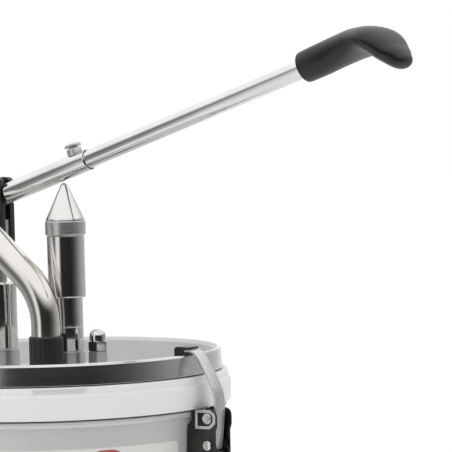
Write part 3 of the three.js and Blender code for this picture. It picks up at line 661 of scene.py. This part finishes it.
def spout_route():
    """Up out of the union, leaning over towards -X, level, and down into the nozzle."""
    slope, bend, rise, crest = math.radians(41), 48, 42, 42
    rise_to = RIM + 21
    nozzle_x = middle("spout_nozzle").x
    points = []

    def arc(cx, cz, radius, start, end, steps):
        for k in range(steps + 1):
            angle = start + (end - start) * k / steps
            points.append(Vector((cx + radius * math.cos(angle), 0, cz + radius * math.sin(angle))))

    def straight(x, z, steps):
        start = points[-1]
        for k in range(1, steps):
            points.append(start.lerp(Vector((x, 0, z)), k / steps))

    points.append(Vector((OUTLET.x, 0, DECK + 6.7)))
    straight(OUTLET.x, rise_to, 6)
    arc(OUTLET.x - bend, rise_to, bend, 0, math.pi / 2 - slope, 16)
    foot = points[-1]
    top = foot + Vector((-rise / math.tan(slope), 0, rise))
    straight(top.x, top.z, 8)
    crest_x, crest_z = top.x - crest * math.sin(slope), top.z - crest * math.cos(slope)
    arc(crest_x, crest_z, crest, math.pi / 2 - slope, math.pi / 2, 10)
    straight(nozzle_x + crest, crest_z + crest, 8)
    arc(nozzle_x + crest, crest_z, crest, math.pi / 2, math.pi, 20)
    straight(nozzle_x, crest_z - 16, 3)
    points.append(Vector((nozzle_x, 0, crest_z - 16)))
    return points


def spout():
    low, high = span("outlet_union")

    def ribs(angle, r, z):
        return r - 0.35 * (math.cos(18 * angle) < -0.55) if r > 12.3 and low.z + 2.4 < z < high.z - 3.4 else r

    union = rounded([
        (9.3, low.z), (12.6, low.z, 0.5), (12.6, low.z + 3), (12.6, high.z - 4), (12.6, high.z - 1.2, 0.9),
        (11.9, high.z, 0.6), (11.05, high.z, 0.2), (11.05, low.z + 4), (9.3, low.z + 4),
    ])
    fine("outlet_union", lathe(union, 144, closed=True, shape=ribs), BLACK, AT_OUTLET)
    route = spout_route()
    at = Matrix.Translation((0, OUTLET.y, 0))
    fine("outlet_pipe", pipe(route, 10.7, 9.2), PIPE_STEEL, at)
    low, high = span("spout_nozzle")
    end = route[-1].z
    at = Matrix.Translation((middle("spout_nozzle").x, OUTLET.y, 0))
    fine("spout_nozzle", lathe(rounded([
        (11, high.z, 0.4), (13.1, high.z, 0.8), (13.1, low.z + 8, 2), (8.8, low.z, 0.8), (6.6, low.z, 0.5),
        (6.6, low.z + 6), (8.4, end - 0.7), (11, end - 0.7),
    ]), closed=True), BLACK, at)


# ---- lever --------------------------------------------------------------------------------
SLEEVE_RADIUS = 8
CLAMP_AT = 78


def lever():
    sleeve_bore, start, end = 7.2, 11, 88.5
    eye = rounded([(start - 1, -6.2, 0.4), (start + 3, -6.2, 0.4), (start + 3, 6.2, 0.4), (start - 1, 6.2, 0.4)],
                  steps=3)
    lobe = [Vector((8 * math.cos(a), 8 * math.sin(a)))
            for a in (math.radians(90 + 180 * k / 24) for k in range(25))]
    tongue = slab([*lobe, Vector((start - 1, -6.4)), Vector((start - 1, 6.4))], -2.5, 2.5,
                  [circle(3.3, (0, 0))], upright=True)
    plug = moved(lathe(rounded([(0, 12), (6.9, 12, 0.3), (6.9, 26, 0.8), (0, 26)], closed=False), 48), ALONG_X)
    shoulder = slab(eye, -2.5, 2.5, upright=True)
    fine("lever_tongue", join(eased(tongue, 0.3), shoulder, plug), SATIN, ON_LEVER)
    sleeve = lathe(rounded([
        (sleeve_bore, start, 0.3), (SLEEVE_RADIUS, start, 0.4), (SLEEVE_RADIUS, end, 0.4), (sleeve_bore, end, 0.3),
    ]), closed=True)
    screw_hole = moved(slab(circle(3.3), 0, 20), Matrix.Translation((CLAMP_AT, 0, 0)))
    fine("lever_sleeve", cut(moved(sleeve, ALONG_X), screw_hole), LEVER_STEEL, ON_LEVER)
    rod = lathe(rounded([(0, 42), (6.8, 42, 0.6), (6.8, 308, 1), (0, 308)], closed=False), 96)
    fine("lever_rod", moved(rod, ALONG_X), LEVER_STEEL, ON_LEVER)


def clamp():
    at = ON_LEVER @ Matrix.Translation((CLAMP_AT, 0, 0))
    top = SLEEVE_RADIUS + 3.6
    boss = lathe(rounded([(3.3, 4), (5.6, 4), (5.6, top, 0.6), (3.3, top, 0.3)]), 72, closed=True)
    seat = SLEEVE_RADIUS + 0.3
    saddle = moved(lathe([(0, -20), (seat, -20), (seat, 20), (0, 20)], 96), ALONG_X)
    fine("clamp_boss", cut(boss, saddle), SATIN, at)
    head = SLEEVE_RADIUS + 4.8
    screw = lathe(rounded([
        (0, 7.1), (3, 7.1, 0.4), (3, head), (6.3, head + 0.3, 0.3), (6.3, head + 1.5, 0.4), (5.2, head + 2.6, 0.6),
        (0, head + 2.6),
    ], closed=False), 72)
    slot = slab([Vector(p) for p in ((-8, -0.7), (8, -0.7), (8, 0.7), (-8, 0.7))], head + 1.5, head + 4)
    fine("clamp_screw", cut(screw, slot), SATIN, at)


GRIP_START = 284
# Stations of the grip: along the lever from its start, above the axis, half thickness, half width.
GRIP_STATIONS = (
    (0, 0.5, 11.2, 11.2), (16, 0.9, 11.6, 11.4), (32.3, 1.5, 11.4, 14.7), (48.2, 1.3, 11, 21.4),
    (61.6, -2.1, 9.6, 29), (69.4, -13.6, 7.8, 22), (74, -20.6, 6.6, 14), (78.1, -24.6, 4.4, 8.5),
)


def smooth_between(stations, share):
    """A Catmull-Rom curve through the stations, read at a share of its way from 0 to 1."""
    along = share * (len(stations) - 1)
    i = min(int(along), len(stations) - 2)
    t = along - i
    before = stations[max(i - 1, 0)]
    after = stations[min(i + 2, len(stations) - 1)]
    values = []
    for a, b, c, d in zip(before, stations[i], stations[i + 1], after):
        values.append(0.5 * (2 * b + (c - a) * t + (2 * a - 5 * b + 4 * c - d) * t ** 2
                             + (3 * b - a - 3 * c + d) * t ** 3))
    return values


def grip():
    sides, count = 64, 90
    rings = []
    for i in range(count + 1):
        s, n, thick, wide = smooth_between(GRIP_STATIONS, i / count)
        s2, n2, _, _ = smooth_between(GRIP_STATIONS, min(i / count + 0.01, 1))
        s1, n1, _, _ = smooth_between(GRIP_STATIONS, max(i / count - 0.01, 0))
        ahead = Vector((s2 - s1, 0, n2 - n1)).normalized()
        up = Vector((-ahead.z, 0, ahead.x))
        mouth = min(i / 3, 1)
        tip = min((count - i) / 9, 1)
        shrink = (0.92 + 0.08 * math.sqrt(1 - (1 - mouth) ** 2)) * (0.3 + 0.7 * math.sqrt(1 - (1 - tip) ** 2))
        centre = Vector((GRIP_START + s, 0, n))
        ring = []
        for k in range(sides):
            angle = 2 * math.pi * k / sides
            flat = 1 - 0.06 * max(0.0, math.sin(angle)) ** 2 * min(1, i / 50)
            ring.append(centre + up * thick * shrink * flat * math.sin(angle)
                        + Vector((0, wide * shrink * math.cos(angle), 0)))
        rings.append(ring)
    bore = moved(lathe([(0, GRIP_START - 5), (7.1, GRIP_START - 5), (7.1, 309), (0, 309)], 48), ALONG_X)
    fine("hand_grip", cut(skin(rings), bore), GRIP, ON_LEVER, smooth=50)


# ---- latches ------------------------------------------------------------------------------
RIVET_RADIUS = 3.6
HANDLE_ARM = 8.5                                   # from the handle's pivot down to the strap's pin
PIVOT_X = middle("strap_pin_right").x
PIVOT_HEIGHT = span("pivot_rivet_right_front")[0].z + RIVET_RADIUS
PIN_HEIGHT = PIVOT_HEIGHT - HANDLE_ARM
STRAP_HALF = 6
STRAP_EYE = 5.2
EAR = (8.7, 10.2)                                  # inner and outer face, from the latch's middle
CHEEK = (6.7, 8.2)
STUD_X, STUD_HEIGHT = 142.3, 227.3


def both_sides(low, high):
    return ((-high, -low), (low, high))


def latch_base(side, at):
    def wall(z):
        return wall_radius(z) + 0.5

    foot, top = 168, PAIL_BAND_BOTTOM + 0.6
    ear = rounded([
        (wall(foot), foot), (wall(foot) + 5, foot - 1, 2), (148.4, foot + 24, 5), (148.6, foot + 50, 3),
        (150, 222, 3), (150, top, 6), (132.6, top, 0.6), (132.6, top - 1.4), (129, top - 1.4, 0.6),
        (129, 226.4, 1), (wall(222), 222),
    ], steps=8)
    pivot_hole = circle(2.4, (PIVOT_X, PIVOT_HEIGHT), 24)
    solids = [eased(slab(ear, *levels, [pivot_hole], upright=True), 0.3) for levels in both_sides(*EAR)]
    head = foot + 24
    back = rounded([(wall(foot), foot), (wall(foot) + 1.6, foot), (wall(head) + 1.6, head), (wall(head), head)])
    solids.append(slab(back, -EAR[1], EAR[1], upright=True))
    # The ears are drawn in near-black steel as painted shade on their faces.
    fine(f"latch_base_{side}", join(*solids), DARK_STEEL_AND_PAINTED_SHADE, at)
    # The raised rim and stud are in the plain latch steel, lighter than the painted shade on the ear faces.
    frame_loop = rounded([(132.4, 220, 1), (145, 220, 4), (149.6, 224, 3), (149.6, top - 3, 4), (145, top - 0.2, 4),
                          (133, top - 0.2, 1)], steps=8)
    window = rounded([(134.6, 222, 0.6), (144, 222, 3), (147.4, 225, 2.4), (147.4, top - 4, 3), (144, top - 2.2, 3),
                      (134.6, top - 2.2, 0.6)], steps=8)
    trims = []
    for sign in (1, -1):
        levels = sorted((sign * (EAR[1] - 0.1), sign * (EAR[1] + 0.8)))
        raised = eased(slab(frame_loop, *levels, [window], upright=True), 0.25)
        turn = Matrix.Rotation(-sign * math.pi / 2, 4, "X")
        face = EAR[1]
        stud = lathe(rounded([(0, face - 0.2), (3.8, face - 0.2), (3.8, face + 0.5, 0.2), (2.9, face + 1.2, 0.4),
                              (1.4, face + 0.9, 0.5), (0, face + 0.8)], closed=False), 40)
        trims += [raised, moved(stud, Matrix.Translation((STUD_X, 0, STUD_HEIGHT)) @ turn)]
    piece(f"latch_base_trim_{side}", join(*trims), LATCH_STEEL, body="base", matrix=at)


def rivet(side, face, at):
    reach = EAR[1] + 0.3
    head = lathe(rounded([(0, CHEEK[0] - 0.3), (2, CHEEK[0] - 0.3), (2, reach), (RIVET_RADIUS, reach, 0.2),
                          (3.5, reach + 1, 0.8), (0, reach + 1.5)], closed=False), 40)
    turn = Matrix.Rotation(math.pi / 2 if face == "front" else -math.pi / 2, 4, "X")
    place = at @ Matrix.Translation((PIVOT_X, 0, PIVOT_HEIGHT)) @ turn
    fine(f"pivot_rivet_{side}_{face}", head, MIRROR, place)


def latch_handle(side, at):
    px, pz = PIVOT_X, PIVOT_HEIGHT
    outer, tail = 149.5, 150
    cheek = rounded([
        (px - 3.4, pz + 1.6, 2), (px - 1.6, pz + 3.6, 2), (px + 2.4, pz + 3.6, 2), (px + 4.6, pz + 1.4, 2),
        (outer, pz - 7, 2), (outer, tail + 6, 1), (outer - 4, tail + 6, 2), (px - 2, pz - 22, 6),
        (px - 4.6, pz - 14, 5), (px - 4.2, pz - 5, 5),
    ], steps=6)
    holes = [circle(2.35, (px, height), 24) for height in (pz, PIN_HEIGHT)]
    solids = [eased(slab(cheek, *levels, holes, upright=True), 0.3) for levels in both_sides(*CHEEK)]
    web = rounded([(outer - 1.5, -CHEEK[1]), (outer, -CHEEK[1], 1), (outer, CHEEK[1], 1), (outer - 1.5, CHEEK[1])])
    solids.append(eased(slab(web, tail, pz - 15), 0.3))
    fine(f"latch_handle_{side}", join(*solids), DARK_STEEL_AND_PAINTED_SHADE, at)
    roll = rounded([(0, -CHEEK[1]), (2.6, -CHEEK[1], 0.5), (2.6, CHEEK[1], 0.5), (0, CHEEK[1])], closed=False)
    piece(f"latch_handle_roll_{side}", moved(lathe(roll, 40), UPRIGHT), DARK_STEEL_AND_PAINTED_SHADE,
          body=f"handle_{side}", matrix=at @ Matrix.Translation((outer + 0.6, 0, tail)))
    end = CHEEK[1]
    pin = lathe(rounded([(0, -end), (2, -end, 0.4), (2, end, 0.4), (0, end)], closed=False), 32)
    fine(f"strap_pin_{side}", moved(pin, UPRIGHT), SATIN,
         at @ Matrix.Translation((PIVOT_X, 0, PIN_HEIGHT)))


def latch_strap(side, at):
    px, pz = PIVOT_X, PIN_HEIGHT
    knots = [(px + 0.9, pz + 4), (143.9, 209.5), (145, 218), (146, 227), (146.6, 235), (146.5, 240.4),
             (145.3, 246.3), (142.5, 252.4), (137, 262.4), (132.4, 269.8), (129, 273.6), (125.4, 274.65),
             (121, 274.65)]
    steps, half = 80, 0.75
    line = [Vector(smooth_between(knots, k / steps)) for k in range(steps + 1)]
    left, right = [], []
    for i, point in enumerate(line):
        ahead = (line[min(i + 1, steps)] - line[max(i - 1, 0)]).normalized()
        normal = Vector((-ahead.y, ahead.x))
        left.append(point + normal * half)
        right.append(point - normal * half)
    band = eased(slab([*left, *reversed(right)], -STRAP_HALF, STRAP_HALF, upright=True), 0.35, angle=50)
    bore = circle(2.4, (px, pz), 32)
    eye = circle(STRAP_EYE, (px, pz), 48)
    knuckle = eased(slab(eye, -STRAP_HALF, STRAP_HALF, [bore], upright=True), 0.3, angle=50)
    fine(f"latch_strap_{side}", band, LATCH_STEEL, at)
    piece(f"latch_strap_knuckle_{side}", knuckle, DARK_STEEL_AND_PAINTED_SHADE, body=f"strap_{side}", matrix=at)
    pad = rounded([
        (113.6, 269.6, 0.6), (116.9, 269.6, 0.6), (117.4, 272.5), (125.6, 272.5, 0.2), (125.6, 273.5, 0.2),
        (120.6, 273.5), (120.6, 275.8), (125.6, 275.8, 0.3), (125, 277.4, 0.6), (115.4, 277.7, 1.4),
        (113.6, 276.2, 1),
    ], steps=4)
    solid = eased(slab(pad, -STRAP_HALF - 1, STRAP_HALF + 1, upright=True), 0.25, angle=50)
    fine(f"hook_pad_{side}", solid, BLACK, at)


# ---- the pieces whose CAD shape is already right ------------------------------------------
KEPT = {
    "lid_gasket": RUBBER, "spout_seal": RUBBER, "piston_seal_upper": RUBBER, "piston_seal_lower": RUBBER,
    "guide_bush": ACETAL, "piston_body": ACETAL, "suction_ball": SATIN,
    "discharge_ball": SATIN, "piston_rod": SATIN, "piston_nut": SATIN, "pump_barrel": SATIN, "valve_block": SATIN,
    "suction_cage": SATIN, "riser_tube": SATIN,
}


def kept_nodes():
    for node, material in KEPT.items():
        slots = frame["nodes"][node].data.materials
        slots.clear()
        slots.append(material)


# ---- studio -------------------------------------------------------------------------------
VIEW_AZIMUTH = math.radians(33)
VIEW_PITCH = math.radians(2.17)
VIEW_ROLL = math.radians(1.5)
VIEW_DISTANCE = 2.0
FIELD = 0.3348                                     # width seen at that distance, in metres
OFF_AXIS = Vector((-0.1309, -0.0885))              # the lid's centre from the lens axis: right, up
BACK = Vector((math.sin(VIEW_AZIMUTH), -math.cos(VIEW_AZIMUTH), 0))
RIGHT = Vector((math.cos(VIEW_AZIMUTH), math.sin(VIEW_AZIMUTH), 0))


def camera():
    data = bpy.data.cameras.new("view")
    data.sensor_width = 36
    data.lens = data.sensor_width * VIEW_DISTANCE / FIELD
    data.clip_end = 100
    obj = bpy.data.objects.new("view", data)
    bpy.context.scene.collection.objects.link(obj)
    ahead = -BACK * math.cos(VIEW_PITCH) - Vector((0, 0, math.sin(VIEW_PITCH)))
    up = RIGHT.cross(ahead)
    lid_centre = Vector((0, 0, RIM * MM))
    place = lid_centre - VIEW_DISTANCE * ahead - RIGHT * OFF_AXIS.x - up * OFF_AXIS.y
    turn = Matrix((RIGHT, up, -ahead)).transposed().to_4x4() @ Matrix.Rotation(-VIEW_ROLL, 4, "Z")
    obj.matrix_world = Matrix.Translation(place) @ turn
    bpy.context.scene.camera = obj


# The studio round the object by direction: degrees to the right of the camera's side, brightness.
WALLS = (
    (-180, 1.30), (-150, 0.60), (-128, 0.36), (-105, 0.38), (-84, 0.14), (-68, 0.24), (-54, 0.95), (-42, 0.95),
    (-30, 0.03), (30, 0.02), (50, 0.06), (66, 0.14), (84, 0.28), (104, 0.42), (130, 0.52), (150, 0.62),
    (180, 1.30),
)
CEILING = 1.12
GROUND = 0.95


def world():
    scene_world = bpy.data.worlds.new("studio")
    bpy.context.scene.world = scene_world
    scene_world.use_nodes = True
    tree = scene_world.node_tree
    tree.nodes.clear()

    def node(kind, **inputs):
        made = tree.nodes.new(kind)
        for name, value in inputs.items():
            socket = made.inputs[name.replace("_", " ")]
            if isinstance(value, bpy.types.NodeSocket):
                tree.links.new(value, socket)
            else:
                socket.default_value = value
        return made

    direction = tree.nodes.new("ShaderNodeTexCoord").outputs["Generated"]
    parts = []
    for axis in (RIGHT, BACK):
        product = tree.nodes.new("ShaderNodeVectorMath")
        product.operation = "DOT_PRODUCT"
        product.inputs[1].default_value = axis
        tree.links.new(direction, product.inputs[0])
        parts.append(product.outputs["Value"])
    bearing = tree.nodes.new("ShaderNodeMath")
    bearing.operation = "ARCTAN2"
    tree.links.new(parts[0], bearing.inputs[0])
    tree.links.new(parts[1], bearing.inputs[1])
    share = node("ShaderNodeMapRange", Value=bearing.outputs[0], From_Min=-math.pi, From_Max=math.pi)
    ramp = node("ShaderNodeValToRGB", Fac=share.outputs["Result"])
    stops = ramp.color_ramp.elements
    while len(stops) > 1:
        stops.remove(stops[-1])
    for i, (degrees, value) in enumerate(WALLS):
        stop = stops[0] if i == 0 else stops.new((degrees + 180) / 360)
        stop.position = (degrees + 180) / 360
        stop.color = (value, value, value, 1)
    height = node("ShaderNodeSeparateXYZ", Vector=direction).outputs["Z"]
    overhead = node("ShaderNodeMapRange", Value=height, From_Min=0.22, From_Max=0.55)
    overhead.interpolation_type = "SMOOTHSTEP"
    walls = node("ShaderNodeMix")
    walls.data_type = "RGBA"
    tree.links.new(overhead.outputs["Result"], walls.inputs["Factor"])
    tree.links.new(ramp.outputs["Color"], walls.inputs[6])
    walls.inputs[7].default_value = (CEILING, CEILING, CEILING, 1)
    ground = node("ShaderNodeMapRange", Value=height, From_Min=-0.30, From_Max=-0.62)
    ground.interpolation_type = "SMOOTHSTEP"
    room = node("ShaderNodeMix")
    room.data_type = "RGBA"
    tree.links.new(ground.outputs["Result"], room.inputs["Factor"])
    tree.links.new(walls.outputs[2], room.inputs[6])
    room.inputs[7].default_value = (GROUND, GROUND, GROUND, 1)
    seen = tree.nodes.new("ShaderNodeLightPath").outputs["Is Camera Ray"]
    studio = node("ShaderNodeBackground", Color=room.outputs[2], Strength=1.0)
    paper = node("ShaderNodeBackground", Color=(1, 1, 1, 1), Strength=1.0)
    choice = tree.nodes.new("ShaderNodeMixShader")
    tree.links.new(seen, choice.inputs[0])
    tree.links.new(studio.outputs[0], choice.inputs[1])
    tree.links.new(paper.outputs[0], choice.inputs[2])
    output = tree.nodes.new("ShaderNodeOutputWorld")
    tree.links.new(choice.outputs[0], output.inputs["Surface"])


def soft_box(name, bearing, height, distance, size, watts):
    """A square diffuse light on the object, bearing degrees to the right of the camera's side."""
    data = bpy.data.lights.new(name, "AREA")
    data.size = size
    data.energy = watts
    obj = bpy.data.objects.new(name, data)
    bpy.context.scene.collection.objects.link(obj)
    angle = math.radians(bearing)
    flat = BACK * math.cos(angle) + RIGHT * math.sin(angle)
    target = Vector((0, 0, 0.22))
    obj.location = target + flat * distance + Vector((0, 0, height))
    obj.rotation_mode = "QUATERNION"
    obj.rotation_quaternion = (target - obj.location).to_track_quat("-Z", "Y")
    obj.visible_glossy = False
    obj.visible_camera = False


def floor():
    surface = Surface("studio_floor")
    surface.tone(surface.noise((3, 3, 3)), (0.88, 0.88, 0.88), (0.92, 0.92, 0.92))
    surface.roughness(surface.noise((200, 200, 200)), 0.75, 0.85)
    surface.shader.inputs["Emission Color"].default_value = (1, 1, 1, 1)
    surface.shader.inputs["Emission Strength"].default_value = 0.12
    surface.shader.inputs["Specular IOR Level"].default_value = 0.1
    bm = lathe([(0, -0.3), (600, -0.3), (20000, -0.3)], 64)
    bm.transform(Matrix.Scale(MM, 4))
    mesh = bpy.data.meshes.new("studio_floor")
    bm.to_mesh(mesh)
    bm.free()
    mesh.materials.append(surface.material)
    obj = bpy.data.objects.new("studio_floor", mesh)
    bpy.context.scene.collection.objects.link(obj)
    obj.visible_glossy = False


camera()
container()
pail()
label()
lid()
bridge()
nuts()
post()
fork()
pump()
return_spring()
spout()
lever()
clamp()
grip()
for latch_side, turn in (("right", Matrix()), ("left", TURN_180)):
    latch_base(latch_side, turn)
    for rivet_face in ("front", "back"):
        rivet(latch_side, rivet_face, turn)
    latch_handle(latch_side, turn)
    latch_strap(latch_side, turn)
kept_nodes()
floor()
world()
soft_box("key", -50, 1.2, 1.8, 1.0, 3)
soft_box("fill", 60, 0.8, 2.2, 1.4, 2)
bpy.context.scene.view_settings.view_transform = "Standard"
